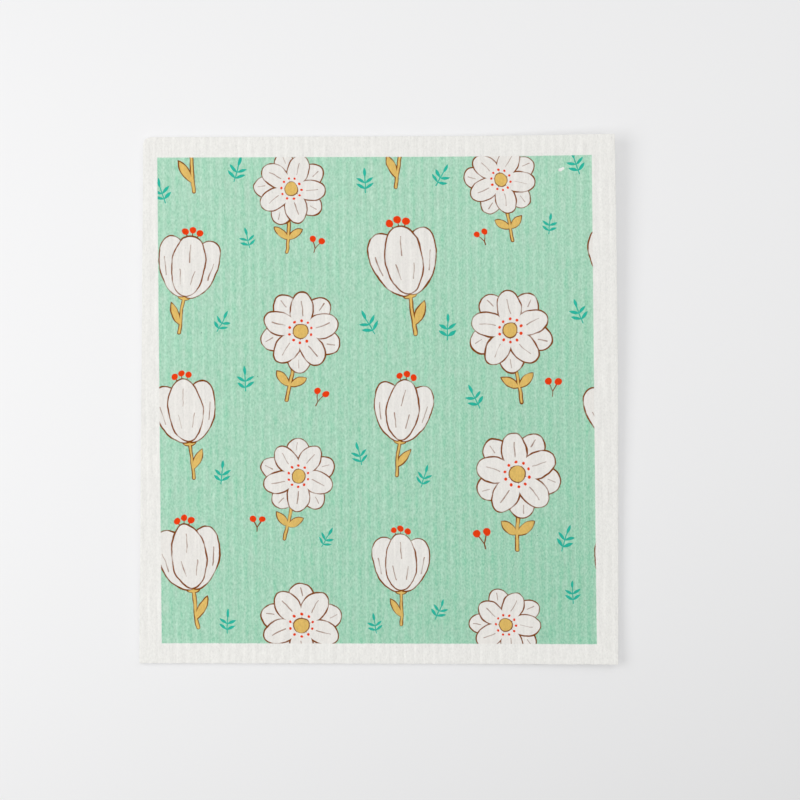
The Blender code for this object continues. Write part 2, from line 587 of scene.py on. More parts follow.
@dataclass(frozen=True)
class Bell:
    """A closed flower seen from the side, on a stem with one leaf. Sizes are millimetres."""

    petal_across: float = 6.3
    petal_along: float = 11.6
    side_shift: float = 4.4
    side_drop: float = 1.0
    side_turn: float = 0.36
    head_height: float = 6.0
    middle_crease: Line = ((0.6, 1.5), (-0.2, 7.888))
    paired_creases: tuple[Line, Line] = (
        ((2.0, -6.96), (3.0, -1.6)),
        ((8.0, -4.408), (9.4, 2.0)),
    )
    crease_strength: float = 0.6
    stem_length: float = 14.0
    stem_width: float = 1.15
    leaf_height: float = 3.0
    leaf_turn: float = 0.55
    leaf_across: float = 1.4
    leaf_along: float = 4.5
    cup_across: float = 2.6
    cup_along: float = 1.7
    bud_reach: float = 2.2
    bud_spread: float = 2.7
    bud_step: float = 0.9
    stalk_depth: float = 3.0
    stalk_spread: float = 0.6
    bud: float = 1.25
    line: float = 0.49
    fine_line: float = 0.36

    def paint(self, drawing: Drawing, place: Wire) -> None:
        """Draws the flower about the place.

        Args:
            drawing: What it is drawn on.
            place: The place in the motif's own frame, in millimetres.
        """
        bench = drawing.bench
        head = place - (0.0, self.head_height, 0.0)
        pair = drawing.folded(head)
        self._stem(drawing, head)
        self._buds(drawing, head, pair)
        side_place = pair - (self.side_shift, -self.side_drop, 0.0)
        side = drawing.oval(
            bench.turned(side_place, -self.side_turn), self.petal_across, self.petal_along
        )
        front = drawing.oval(head, self.petal_across, self.petal_along)
        for petal in (side, front):
            drawing.fill(petal, Ink.WHITE)
            drawing.line(petal, self.line)
        creases = drawing.stroke(head, *self.middle_crease)
        for crease in self.paired_creases:
            creases = creases.at_most(drawing.stroke(pair, *crease))
        drawing.pen(creases, self.fine_line, self.crease_strength)

    def _stem(self, drawing: Drawing, head: Wire) -> None:
        """Draws the gold stem with its leaf and the cup under the flower.

        Args:
            drawing: What it is drawn on.
            head: The place about the middle of the flower's head.
        """
        top = -self.petal_along
        foot = top - self.stem_length
        stem = drawing.stroke(head, (0.0, top), (0.0, foot)) - self.stem_width / 2
        at_leaf = drawing.bench.turned(head - (0.0, foot + self.leaf_height, 0.0), self.leaf_turn)
        leaf = drawing.leaf(at_leaf, self.leaf_across, self.leaf_along)
        cup = drawing.oval(head - (0.0, top, 0.0), self.cup_across, self.cup_along)
        plant = stem.at_most(leaf).at_most(cup)
        drawing.fill(plant, Ink.GOLD)
        drawing.line(plant, self.fine_line)

    def _buds(self, drawing: Drawing, head: Wire, pair: Wire) -> None:
        """Draws three red tips on short stalks above the petals.

        Args:
            drawing: What they are drawn on.
            head: The place about the middle of the flower's head.
            pair: The same place, folded to its right half.
        """
        tall = self.petal_along + self.bud_reach
        low = tall - self.bud_step
        root = self.petal_along - self.stalk_depth
        side_stalks = drawing.stroke(pair, (self.stalk_spread, root), (self.bud_spread, low))
        middle_stalk = drawing.stroke(head, (0.0, root), (0.0, tall))
        drawing.pen(side_stalks.at_most(middle_stalk), self.fine_line)
        side_tips = drawing.disc(pair - (self.bud_spread, low, 0.0), self.bud)
        middle_tip = drawing.disc(head - (0.0, tall, 0.0), self.bud)
        drawing.fill(side_tips.at_most(middle_tip), Ink.RED)


@dataclass(frozen=True)
class Twig:
    """A small teal twig with pairs of leaves. Sizes are millimetres."""

    pairs: int = 2
    stalk: float = 6.0
    leaf_across: float = 0.55
    leaf_along: float = 1.8
    leaf_turn: float = 1.0
    first_leaf: float = 1.2
    leaf_step: float = 2.1
    tip_overlap: float = 0.6
    width: float = 0.40

    def paint(self, drawing: Drawing, place: Wire) -> None:
        """Draws the twig upwards from the place.

        Args:
            drawing: What it is drawn on.
            place: The place in the twig's own frame, in millimetres.
        """
        pair = drawing.folded(place)
        shape = drawing.stroke(place, (0.0, 0.0), (0.0, self.stalk)) - self.width / 2
        for index in range(self.pairs):
            root = pair - (0.0, self.first_leaf + index * self.leaf_step, 0.0)
            turned = drawing.bench.turned(root, -self.leaf_turn)
            shape = shape.at_most(drawing.leaf(turned, self.leaf_across, self.leaf_along))
        end = place - (0.0, self.stalk - self.tip_overlap, 0.0)
        tip = drawing.leaf(end, self.leaf_across, self.leaf_along)
        drawing.fill(shape.at_most(tip), Ink.TEAL)


@dataclass(frozen=True)
class Berries:
    """Two red berries on a forked brown stalk. Sizes are millimetres."""

    spread: float = 1.8
    height: float = 3.6
    radius: float = 1.3
    foot: float = 1.6
    stalk: float = 0.40

    def paint(self, drawing: Drawing, place: Wire) -> None:
        """Draws the berries above the place, where their stalks meet.

        Args:
            drawing: What they are drawn on.
            place: The place in the berries' own frame, in millimetres.
        """
        pair = drawing.folded(place)
        fork = drawing.stroke(pair, (0.0, 0.0), (self.spread, self.height))
        foot = drawing.stroke(place, (0.0, -self.foot), (0.0, 0.0))
        drawing.pen(fork.at_most(foot), self.stalk)
        berry = drawing.disc(pair - (self.spread, self.height, 0.0), self.radius)
        drawing.fill(berry, Ink.RED)


@dataclass(frozen=True)
class Spot:
    """Where a small motif stands beside a flower, in millimetres, and its turn in radians."""

    x: float
    y: float
    turn: float

    def seen_from(self, motif: Wire) -> Wire:
        """The flower's place as the small motif sees it."""
        return motif.bench.turned(motif - (self.x, self.y, 0.0), self.turn)


@dataclass(frozen=True)
class PrintRepeat:
    """Where the motifs stand: columns of blossoms and of bells, each dropped by half a repeat."""

    column: float = 41.0
    drop: float = 56.0
    start_x: float = -31.5
    start_y: float = 18.0
    tilt: float = 0.55
    stray: float = 4.0
    smallest: float = 0.90
    largest: float = 1.12
    blossom_twig: Spot = Spot(-15.0, -17.0, 0.3)
    blossom_berries: Spot = Spot(11.5, -15.0, -0.2)
    bell_twigs: tuple[Spot, Spot] = (Spot(14.0, -17.0, -0.35), Spot(-10.0, -23.0, 0.2))

    def paint(self, drawing: Drawing, place: Wire) -> None:
        """Draws the whole repeat.

        Args:
            drawing: What it is drawn on.
            place: The place on the cloth, in millimetres.
        """
        motif, chance = self._cell(drawing.bench, place, 0.0, 0.0, 1.0)
        spin, _, _ = chance.parts()
        Twig().paint(drawing, self.blossom_twig.seen_from(motif))
        Berries().paint(drawing, self.blossom_berries.seen_from(motif))
        Blossom().paint(drawing, motif, spin * 2 * math.pi)
        motif, _ = self._cell(drawing.bench, place, self.column, self.drop / 2, 2.0)
        for spot in self.bell_twigs:
            Twig().paint(drawing, spot.seen_from(motif))
        Bell().paint(drawing, motif)

    def _cell(
        self, bench: Bench, place: Wire, shift_x: float, shift_y: float, seed: float
    ) -> tuple[Wire, Wire]:
        """Cuts the cloth into cells, one for each flower of a kind.

        Args:
            bench: Where the nodes are added.
            place: The place on the cloth, in millimetres.
            shift_x: How far these cells are shifted across.
            shift_y: How far they are shifted along.
            seed: A whole number that sets these cells' chances apart.

        Returns:
            The place about the flower, and three chance numbers of its cell as a vector.
        """
        size = (2 * self.column, self.drop, 1.0)
        cells = (place - (self.start_x + shift_x, self.start_y + shift_y, 0.0)) / size
        index = bench.work("FLOOR", cells + (0.5, 0.5, 0.0))
        settings, sockets = {"noise_dimensions": "3D"}, {"Vector": index + (0, 0, seed)}
        chance = bench.wire("ShaderNodeTexWhiteNoise", settings, sockets, "Color")
        across, along, turn = (chance - (0.5, 0.5, 0.5)).parts()
        motif = (cells - index) * (size[0], size[1], 0.0)
        motif = motif - bench.joined(across * self.stray, along * self.stray)
        motif = bench.turned(motif, turn * self.tilt)
        mirror = 1.0 - along.above(0.0) * 2.0
        growth = (across + 0.5) * (self.largest - self.smallest) + self.smallest
        return motif * bench.joined(mirror / growth, 1.0 / growth), chance


@dataclass(frozen=True)
class Flaw:
    """What the printing left: one unprinted fleck and sparse dark specks. Sizes are millimetres."""

    fleck_place: tuple[float, float, float] = (69.1, 86.8, 0.0)
    fleck_turn: float = 0.25
    fleck_size: tuple[float, float] = (0.80, 0.60)
    tail_place: tuple[float, float, float] = (1.0, 0.25, 0.0)
    tail_size: tuple[float, float] = (0.60, 0.50)
    speck_spacing: float = 12.0
    speck: float = 0.20
    shown: float = 0.55

    def paint(self, drawing: Drawing, place: Wire) -> None:
        """Draws the flaws.

        Args:
            drawing: What they are drawn on.
            place: The place on the cloth, in millimetres.
        """
        bench = drawing.bench
        fleck = bench.turned(place - self.fleck_place, self.fleck_turn)
        shape = drawing.oval(fleck, *self.fleck_size)
        tail = drawing.oval(fleck - self.tail_place, *self.tail_size)
        drawing.fill(shape.at_most(tail), Ink.BARE)
        distance, chances = bench.cells(place / self.speck_spacing)
        chance, _, _ = chances.parts()
        distance = distance * self.speck_spacing - self.speck
        drawing.fill(distance + chance.above(self.shown), Ink.SPECK)


@dataclass(frozen=True)
class PrintField:
    """The printed field, by its margins to the nominal cut. Sizes are millimetres."""

    left: float = 6.9
    right: float = 8.25
    top: float = 7.8
    bottom: float = 7.6
    soft: float = 0.16
    ragged: float = 0.35
    ragged_rate: float = 1.4

    def cover(self, bench: Bench, place: Wire, width: float, length: float) -> Wire:
        """How much of the ink there is: 1 inside the field, fading at its edge.

        Args:
            bench: Where the nodes are added.
            place: The place across and along the ribs, in millimetres.
            width: The cloth's width in millimetres.
            length: The cloth's length in millimetres.

        Returns:
            The cover, 0 to 1.
        """
        middle = ((self.left - self.right) / 2, (self.bottom - self.top) / 2, 0.0)
        half_x = (width - self.left - self.right) / 2
        half_y = (length - self.top - self.bottom) / 2
        x, y, _ = bench.work("ABSOLUTE", place - middle).parts()
        edge = (x - half_x).at_least(y - half_y)
        ragged = (bench.noise(place * self.ragged_rate) - 0.5) * self.ragged
        return bench.step(edge + ragged, self.soft, -self.soft)


@dataclass(frozen=True)
class Weights:
    """One property of the sponge: its middle value and how much each pattern adds to it."""

    middle: float = 0.0
    depth: float = 0.0
    ribs: float = 0.0
    streaks: float = 0.0
    mottle: float = 0.0
    grain: float = 0.0
    pores: float = 0.0

    def total(self, patterns: dict[str, Wire]) -> Operand:
        """Adds the patterns up.

        Args:
            patterns: Each pattern under the name of its weight.

        Returns:
            The property's value here.
        """
        value: Operand = self.middle
        for name, pattern in patterns.items():
            if getattr(self, name):
                value = value + pattern * getattr(self, name)
        return value


@dataclass(frozen=True)
class SpongeFinish:
    """Dry cellulose sponge with ink in its front. Grain sizes are millimetres."""

    white: Colour = screen(238, 237, 233)
    shine: float = 0.15
    streak: float = 1.5
    streak_run: float = 14.0
    streak_detail: float = 4.0
    mottle: float = 2.8
    mottle_run: float = 4.48
    mottle_detail: float = 3.0
    grain: float = 0.55
    grain_run: float = 0.95
    pore: float = 0.8
    pore_edge: float = 0.30
    pore_core: float = 0.10
    front_mark: float = 0.98
    bare_blue: float = 0.98
    inked_blue: float = 0.82
    # The rib wave is partly ink gathered in the grooves and partly painted shade of the rib slopes.
    rib_ink_and_shade: float = 0.086
    rib_streaks: float = 3.0
    rib_overtones: tuple[tuple[float, float, float], ...] = ((2.0, 1.27, -0.32), (3.0, 0.28, 0.22))
    # How much more the print darkens towards the bottom on the right than on the left.
    darkening_slant: float = 1.1
    press_size: float = 4.5
    press_range: float = 1.7
    press_least: float = 0.15
    pen_drift: float = 1.8
    drift_rate: float = 0.12
    ink_spread: float = 0.07
    # The mint's load holds partly painted rib shade and the darkening towards the bottom right besides
    # its ink.
    ink_load_and_shade: Weights = Weights(0.53, depth=0.15, ribs=1.0, streaks=0.60, mottle=0.60, grain=1.05)
    # Paleness of the bare sponge: random tone, with painted rib shade in its ribs weight and painted
    # shade in the pores.
    paleness_and_shade: Weights = Weights(1.0, ribs=-0.12, streaks=0.18, mottle=0.06, grain=0.21, pores=-0.03)
    ink_dark: Weights = Weights(depth=0.045, grain=0.57)
    roughness: Weights = Weights(0.92, grain=0.12)
    relief: Weights = Weights(streaks=0.06, grain=0.07, pores=-0.06)
    field: PrintField = PrintField()
    repeat: PrintRepeat = PrintRepeat()
    flaw: Flaw = Flaw()

    def material(self, sheet: "SpongeSheet") -> bpy.types.Material:
        """Makes the cloth's material.

        Args:
            sheet: The cloth, whose sizes and rib pitch the finish follows.

        Returns:
            The material.
        """
        made = bpy.data.materials.new("printed_sponge")
        made.use_nodes = True
        bench = Bench(made.node_tree)
        surface = made.node_tree.nodes["Principled BSDF"].inputs
        place = bench.wire("ShaderNodeTexCoord", {}, {}, "Object") * MM
        x, y, _ = place.parts()
        along_ribs = bench.joined(x + y * sheet.rib_lean, y)
        patterns = self._patterns(bench, place, along_ribs, sheet)
        side = bench.wire("ShaderNodeAttribute", {"attribute_name": SIDE_ATTRIBUTE}, {}, "Fac")
        inked = self.field.cover(bench, along_ribs, sheet.width * MM, sheet.length * MM)
        inked = inked * side.above(self.front_mark)
        load = self.ink_load_and_shade.total(patterns).at_least(0.0).at_most(1.0)
        design = self._print(bench, place, along_ribs, load)
        ink = bench.mixed(Ink.BARE.value, design, inked)
        coloured = inked * bench.step(design.parts()[2], self.bare_blue, self.inked_blue)
        # The tone holds painted shade of the ribs and pores beside the sponge's random tone.
        tone = self.paleness_and_shade.total(patterns) * (1.0 - coloured * self.ink_dark.total(patterns))
        base = bench.work("MULTIPLY", bench.scaled(self.white, tone), ink)
        height = self.relief.total(patterns)
        bump = bench.wire("ShaderNodeBump", {}, {"Distance": 1 / MM, "Height": height})
        bench.feed(surface["Base Color"], base)
        bench.feed(surface["Roughness"], self.roughness.total(patterns))
        bench.feed(surface["Specular IOR Level"], self.shine)
        bench.feed(surface["Normal"], bump)
        return made

    def _patterns(
        self, bench: Bench, place: Wire, along_ribs: Wire, sheet: "SpongeSheet"
    ) -> dict[str, Wire]:
        """The sponge's patterns, each under the name of its weight.

        Args:
            bench: Where the nodes are added.
            place: The place on the cloth, in millimetres.
            along_ribs: The place across and along the ribs.
            sheet: The cloth, for its sizes and rib pitch.

        Returns:
            The patterns. All but the pores are about 0 on the whole.
        """
        across, _, _ = along_ribs.parts()
        # Ribs: partly ink in the grooves, partly painted shade of the slopes as if lit from the left.
        ribs = self._rib_ink_and_shade(across * (2 * math.pi / (sheet.rib_pitch * MM)))
        streak_size = (self.streak, self.streak_run, 1.0)
        streaks = bench.noise(along_ribs / streak_size, self.streak_detail) - 0.5
        mottle_size = (self.mottle, self.mottle_run, 1.0)
        mottle = bench.noise(along_ribs / mottle_size, self.mottle_detail) - 0.5
        grain_size = (self.grain, self.grain_run, self.grain)
        pores, _ = bench.cells(place / self.pore)
        return {
            "depth": self._darkening(place, sheet),
            "ribs": ribs * (1.0 + streaks * self.rib_streaks),
            "streaks": streaks,
            "mottle": mottle,
            "grain": bench.noise(place / grain_size) - 0.5,
            "pores": bench.step(pores, self.pore_edge, self.pore_core),
        }

    def _darkening(self, place: Wire, sheet: "SpongeSheet") -> Wire:
        """How much darker the print is made here than in its middle: it is darkest at the bottom right.

        Args:
            place: The place on the cloth, in millimetres.
            sheet: The cloth, for its size.

        Returns:
            The darkening, 0 in the middle.
        """
        x, y, _ = place.parts()
        down = 0.5 - y / (sheet.length * MM)
        return down * (1.0 + x * (self.darkening_slant / (sheet.width * MM))) - 0.5

    def _rib_ink_and_shade(self, turn: Wire) -> Wire:
        """How much more ink there is here across a rib, with painted shade of its slopes: it thins
        slowly to one side, fast to the other.

        Args:
            turn: How far round its wave the rib is, in radians.

        Returns:
            The ink and painted shade, about 0 on the whole.
        """
        wave = turn.wave()
        for count, start, share in self.rib_overtones:
            wave = wave + (turn * count - start).wave() * share
        return wave * self.rib_ink_and_shade

    def _print(self, bench: Bench, place: Wire, along_ribs: Wire, load: Wire) -> Wire:
        """The inked design before the sponge shows through it.

        Args:
            bench: Where the nodes are added.
            place: The place on the cloth, in millimetres.
            along_ribs: The place across and along the ribs.
            load: How much of the ground's ink there is, 0 to 1, with partly painted rib shade and the
                darkening towards the bottom right in it.

        Returns:
            The ink's colour.
        """
        press = bench.noise(place / self.press_size) * self.press_range + self.press_least
        drawing = Drawing(bench, self.ink_spread, press, load)
        sockets = {"Vector": place, "Scale": self.drift_rate, "Detail": 2.0}
        drift = bench.wire("ShaderNodeTexNoise", {}, sockets, "Color") - (0.5, 0.5, 0.5)
        drift = drift * (self.pen_drift, self.pen_drift, 0.0)
        self.repeat.paint(drawing, along_ribs + drift)
        self.flaw.paint(drawing, place)
        return drawing.colour


class SizeInput(Enum):
    """The named inputs of the cloth's node tree, by the names of the sheet's own sizes."""

    WIDTH = "width"
    LENGTH = "length"
    THICKNESS = "thickness"
    FLARE = "cut_flare"
    BOW = "cut_bow"
    CORNER = "corner_radius"
    EDGE_ROUND = "edge_round"
    EDGE_DROP = "edge_drop"
    PITCH = "rib_pitch"
    RIB = "rib_height"
    FINE = "fine_rib_height"
    FINE_COUNT = "fine_ribs"
    LEAN = "rib_lean"
    REACH = "curl_reach"
    TOP = "top_lift"
    TOP_FADE = "top_fade"
    BOTTOM = "bottom_lift"
    BOTTOM_FADE = "bottom_fade"
    GRAIN = "grain_height"
    FRONT_ACROSS = "front_across"
    FRONT_ALONG = "front_along"
    BACK_ACROSS = "back_across"
    BACK_ALONG = "back_along"

    @property
    def title(self) -> str:
        """The input's name as the tree shows it."""
        return self.value.replace("_", " ").title()


@dataclass(frozen=True)
class BakeLayout:
    """Where the front, the rim and the back lie on the map, as shares of its side."""

    edge: float = 0.005
    front_scale: float = 4.68
    strip_left: float = 0.868
    strip_low: float = 0.200
    strip_scale: float = 3.9
    strip_width: float = 0.0125
    strip_step: float = 0.0300
    back_scale: float = 0.68
    face_mark: float = 0.99


@dataclass
class SpongeSheet:
    """The cut sheet: a ribbed front, a rough cut rim and a smooth back. Sizes are metres."""

    width: float
    length: float
    cut_flare: float = 0.0013
    cut_bow: float = 0.0007
    thickness: float = 0.0019
    corner_radius: float = 0.0027
    edge_round: float = 0.0007
    edge_drop: float = 0.00006
    rib_pitch: float = 0.0036
    rib_height: float = 0.00009
    fine_rib_height: float = 0.00004
    fine_ribs: int = 3
    rib_lean: float = 0.0100
    curl_reach: float = 0.0750
    top_lift: float = 0.0061
    top_fade: float = 1.35
    bottom_lift: float = 0.0022
    bottom_fade: float = 10.0
    grain_height: float = 0.00006
    grain_size: float = 0.0030
    grain_stretch: float = 0.6
    rib_grain: float = 1.2
    row_crowding: float = 0.09
    row_curve: float = 8.0
    side_blend: float = 0.0108
    front_across: int = 601
    front_along: int = 121
    back_across: int = 301
    back_along: int = 41
    rim_shares: tuple[float, ...] = (0.12, 0.35, 0.65, 0.90)
    rim_bulge: float = 0.00008
    rim_roughness: float = 0.00010
    rim_grains: float = 1400.0
    sharp_angle: float = 60.0
    layout: BakeLayout = BakeLayout()

    @classmethod
    def from_frame(cls) -> "SpongeSheet":
        """Takes the cut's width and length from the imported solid.

        Returns:
            The sheet.
        """
        low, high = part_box(NODE)
        size = high - low
        return cls(width=size.x - cls.cut_flare, length=size.y)

    def build(self, finish: SpongeFinish) -> bpy.types.Object:
        """Makes the dressed cloth.

        Args:
            finish: The cloth's finish.

        Returns:
            The cloth as a plain closed mesh.
        """
        material = finish.material(self)
        mesh = self._faces(material)
        bm = bmesh.new()
        bm.from_mesh(mesh)
        self._close_rim(bm)
        self._lay_out_map(bm)
        bm.to_mesh(mesh)
        bm.free()
        mesh.name = "ribbed_sponge_cloth"
        mesh.shade_smooth()
        mesh.set_sharp_from_angle(angle=math.radians(self.sharp_angle))
        return added("ribbed_sponge_cloth", mesh)

    def _faces(self, material: bpy.types.Material) -> bpy.types.Mesh:
        """Lays out the front and the back with Geometry Nodes.

        Args:
            material: The material that both take.

        Returns:
            The two open faces as one plain mesh.
        """
        tree = bpy.data.node_groups.new("ribbed_sheet", "GeometryNodeTree")
        face = tree.interface
        face.new_socket("Geometry", in_out="OUTPUT", socket_type="NodeSocketGeometry")
        identifiers = {}
        for size in SizeInput:
            value = getattr(self, size.value)
            kind = "NodeSocketInt" if isinstance(value, int) else "NodeSocketFloat"
            made = face.new_socket(size.title, in_out="INPUT", socket_type=kind)
            identifiers[made.identifier] = value
        SheetTree(tree, self, material).build()
        carrier = added("sheet_carrier", bpy.data.meshes.new("sheet_carrier"))
        modifier = carrier.modifiers.new("ribbed_sheet", "NODES")
        modifier.node_group = tree
        for identifier, value in identifiers.items():
            modifier[identifier] = value
        bpy.context.view_layer.update()
        graph = bpy.context.evaluated_depsgraph_get()
        mesh = bpy.data.meshes.new_from_object(carrier.evaluated_get(graph))
        bpy.data.objects.remove(carrier)
        return mesh

    def _close_rim(self, bm: bmesh.types.BMesh) -> None:
        """Joins the front to the back by the rough cut edge of the sponge.

        Args:
            bm: The two open faces, which it closes.
        """
        side = bm.verts.layers.float[SIDE_ATTRIBUTE]
        top = boundary_loop(bm, side, 1.0)
        foot = boundary_loop(bm, side, -1.0)
        count = len(top)
        outward = []
        for index, vert in enumerate(top):
            run = top[(index + 1) % count].co - top[index - 1].co
            outward.append(Vector((run.y, -run.x, 0.0)).normalized())
        middle = sum((vert.co for vert in top), Vector()) / count
        if outward[0].dot(top[0].co - middle) < 0:
            outward = [-way for way in outward]
        ring = top
        for share in self.rim_shares:
            lower = []
            for vert, way in zip(top, outward):
                low = self._lift(vert.co.x, vert.co.y)
                height = vert.co.z + (low - vert.co.z) * share
                push = self.rim_bulge * math.sin(math.pi * share)
                grain = Vector((vert.co.x, vert.co.y, height)) * self.rim_grains
                push += self.rim_roughness * noise.noise(grain)
                made = bm.verts.new((vert.co.x + way.x * push, vert.co.y + way.y * push, height))
                made[side] = 1.0 - 2.0 * share
                lower.append(made)
            for index in range(count):
                bm.faces.new((ring[index - 1], ring[index], lower[index], lower[index - 1]))
            ring = lower
        edges = loop_edges(bm, ring) + loop_edges(bm, foot)
        bmesh.ops.bridge_loops(bm, edges=edges)
        bmesh.ops.recalc_face_normals(bm, faces=bm.faces[:])

    def _lift(self, x: float, y: float) -> float:
        """Height of the back above the table.

        Args:
            x: The place across the sheet.
            y: The place along it.

        Returns:
            The height.
        """
        side = max(0.0, (x - self.width / 2 + self.curl_reach) / self.curl_reach)
        up = min(1.0, max(0.0, y / self.length + 0.5))
        top = self.top_lift * up**self.top_fade
        return side**2 * (top + self.bottom_lift * (1 - up) ** self.bottom_fade)

    def _lay_out_map(self, bm: bmesh.types.BMesh) -> None:
        """Gives the front most of the map, and the rim and the back a column beside it.

        Args:
            bm: The closed sheet.
        """
        side = bm.verts.layers.float[SIDE_ATTRIBUTE]
        uv = bm.loops.layers.uv.new("OFBake")
        plan = self.layout
        half = Vector((self.width / 2 + self.cut_flare, self.length / 2))
        for face in bm.faces:
            marks = [loop.vert[side] for loop in face.loops]
            strip = self._strip(face.calc_center_median())
            for loop, mark in zip(face.loops, marks):
                x, y = loop.vert.co.x + half.x, loop.vert.co.y + half.y
                if min(marks) > plan.face_mark:
                    place = (plan.edge + x * plan.front_scale, plan.edge + y * plan.front_scale)
                elif max(marks) < -plan.face_mark:
                    place = (
                        plan.strip_left + x * plan.back_scale, plan.edge + y * plan.back_scale
                    )
                else:
                    along = y if strip < 2 else x
                    place = (
                        plan.strip_left + strip * plan.strip_step + (1 - mark) / 2 * plan.strip_width,
                        plan.strip_low + along * plan.strip_scale,
                    )
                loop[uv].uv = place

    def _strip(self, centre: Vector) -> int:
        """Finds which side of the sheet a face of the rim is on.

        Args:
            centre: The face's middle.

        Returns:
            0 to 3 for the left, right, bottom or top side.
        """
        gaps = (
            self.width / 2 + centre.x,
            self.width / 2 - centre.x,
            self.length / 2 + centre.y,
            self.length / 2 - centre.y,
        )
        return gaps.index(min(gaps))


def boundary_loop(
    bm: bmesh.types.BMesh, side: bmesh.types.BMLayerItem, mark: float
) -> list[bmesh.types.BMVert]:
    """The points round an open face, in order.

    Args:
        bm: The mesh.
        side: The layer that marks each point's face.
        mark: The mark of the face that is wanted.

    Returns:
        The points.
    """
    edges = [edge for edge in bm.edges if edge.is_boundary and edge.verts[0][side] == mark]
    ways: dict[bmesh.types.BMVert, list[bmesh.types.BMVert]] = {}
    for edge in edges:
        first, second = edge.verts
        ways.setdefault(first, []).append(second)
        ways.setdefault(second, []).append(first)
    loop = [edges[0].verts[0], edges[0].verts[1]]
    while len(loop) < len(edges):
        before, here = loop[-2:]
        loop.append(next(vert for vert in ways[here] if vert is not before))
    return loop


def loop_edges(
    bm: bmesh.types.BMesh, loop: list[bmesh.types.BMVert]
) -> list[bmesh.types.BMEdge]:
    """The edges between the points of a closed loop."""
    return [bm.edges.get((loop[index - 1], loop[index])) for index in range(len(loop))]


